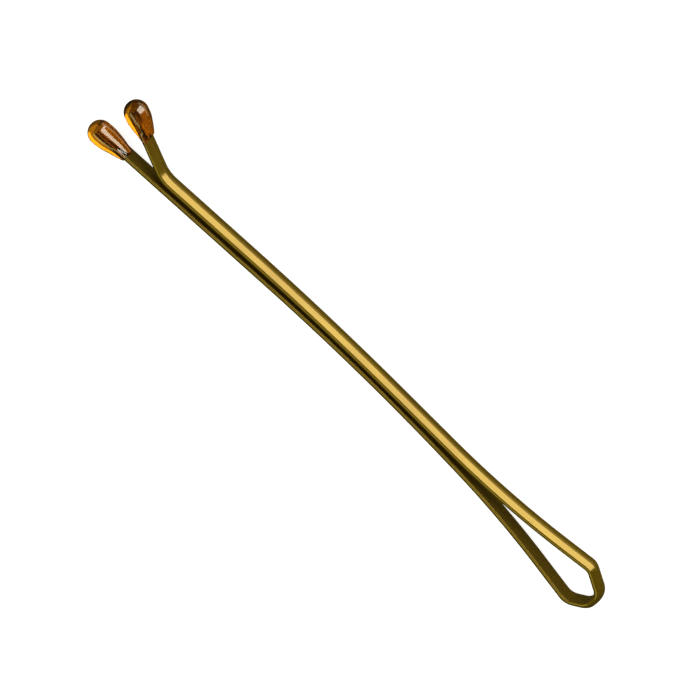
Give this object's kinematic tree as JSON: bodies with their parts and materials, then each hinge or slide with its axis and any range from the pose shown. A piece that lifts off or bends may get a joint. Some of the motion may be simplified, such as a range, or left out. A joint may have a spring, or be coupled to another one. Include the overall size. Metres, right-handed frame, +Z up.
{
  "type": "bobby pin",
  "caption": "Straight bobby pin of flat-sided spring wire folded into two legs and an end loop, one leg flared, with a drop of amber resin on each free end.",
  "frame": {"origin": "under the middle of the pin, on the face it rests on when it lies on its side", "axes": "+X along the pin from the tips to the end loop, +Y across the legs towards the flared upper leg, +Z up along the width of the wire"},
  "size_m": [0.0644, 0.007, 0.0024],
  "materials": {
    "lacquered_wire": "drawn spring steel under a bronze-gold lacquer, glossy with fine lengthwise lines",
    "amber_resin": "clear amber resin, glossy and slightly uneven"
  },
  "bodies": {
    "lower_loop_half": {"lower_loop_half": "lacquered_wire"},
    "upper_loop_half": {"upper_loop_half": "lacquered_wire"},
    "lower_leg_rear": {"lower_leg_rear": "lacquered_wire"},
    "lower_leg_middle": {"lower_leg_middle": "lacquered_wire"},
    "lower_leg_front": {"lower_leg_front": "lacquered_wire", "lower_tip": "amber_resin"},
    "upper_leg_rear": {"upper_leg_rear": "lacquered_wire"},
    "upper_leg_middle": {"upper_leg_middle": "lacquered_wire"},
    "upper_leg_front": {"upper_leg_front": "lacquered_wire", "upper_tip": "amber_resin"}
  },
  "joints": [
    {"name": "loop_flex", "type": "hinge", "parent": "lower_loop_half", "child": "upper_loop_half", "pos_m": [0.0319, -0.00096, 0.0012], "axis": [0, 0, -1], "range_deg": [0, 1.6], "stiffness_Nm_per_rad": 2.4},
    {"name": "upper_shoulder_flex", "type": "hinge", "parent": "upper_loop_half", "child": "upper_leg_rear", "pos_m": [0.0281, 0.00133, 0.0012], "axis": [0, 0, -1], "range_deg": [0, 3.2], "stiffness_Nm_per_rad": 1.1},
    {"name": "upper_waist_flex", "type": "hinge", "parent": "upper_leg_rear", "child": "upper_leg_middle", "pos_m": [0.0109, 0.00019, 0.0012], "axis": [0, 0, -1], "range_deg": [0, 4.29], "stiffness_Nm_per_rad": 0.6},
    {"name": "upper_bow_flex", "type": "hinge", "parent": "upper_leg_middle", "child": "upper_leg_front", "pos_m": [-0.01495, -0.00014, 0.0012], "axis": [0, 0, -1], "range_deg": [0, 1.57], "stiffness_Nm_per_rad": 0.6},
    {"name": "lower_shoulder_flex", "type": "hinge", "parent": "lower_loop_half", "child": "lower_leg_rear", "pos_m": [0.0281, -0.00287, 0.0012], "axis": [0, 0, 1], "range_deg": [0, 3.2], "stiffness_Nm_per_rad": 1.1},
    {"name": "lower_waist_flex", "type": "hinge", "parent": "lower_leg_rear", "child": "lower_leg_middle", "pos_m": [0.0135, -0.00109, 0.0012], "axis": [0, 0, 1], "range_deg": [0, 4.29], "stiffness_Nm_per_rad": 0.6},
    {"name": "lower_bow_flex", "type": "hinge", "parent": "lower_leg_middle", "child": "lower_leg_front", "pos_m": [-0.01495, -0.0013, 0.0012], "axis": [0, 0, 1], "range_deg": [0, 1.57], "stiffness_Nm_per_rad": 0.6}
  ],
  "couplings": [
    {"joint": "upper_shoulder_flex", "follows": "loop_flex", "ratio": 2},
    {"joint": "upper_waist_flex", "follows": "loop_flex", "ratio": 2.68},
    {"joint": "upper_bow_flex", "follows": "loop_flex", "ratio": 0.98},
    {"joint": "lower_shoulder_flex", "follows": "loop_flex", "ratio": 2},
    {"joint": "lower_waist_flex", "follows": "loop_flex", "ratio": 2.68},
    {"joint": "lower_bow_flex", "follows": "loop_flex", "ratio": 0.98}
  ]
}
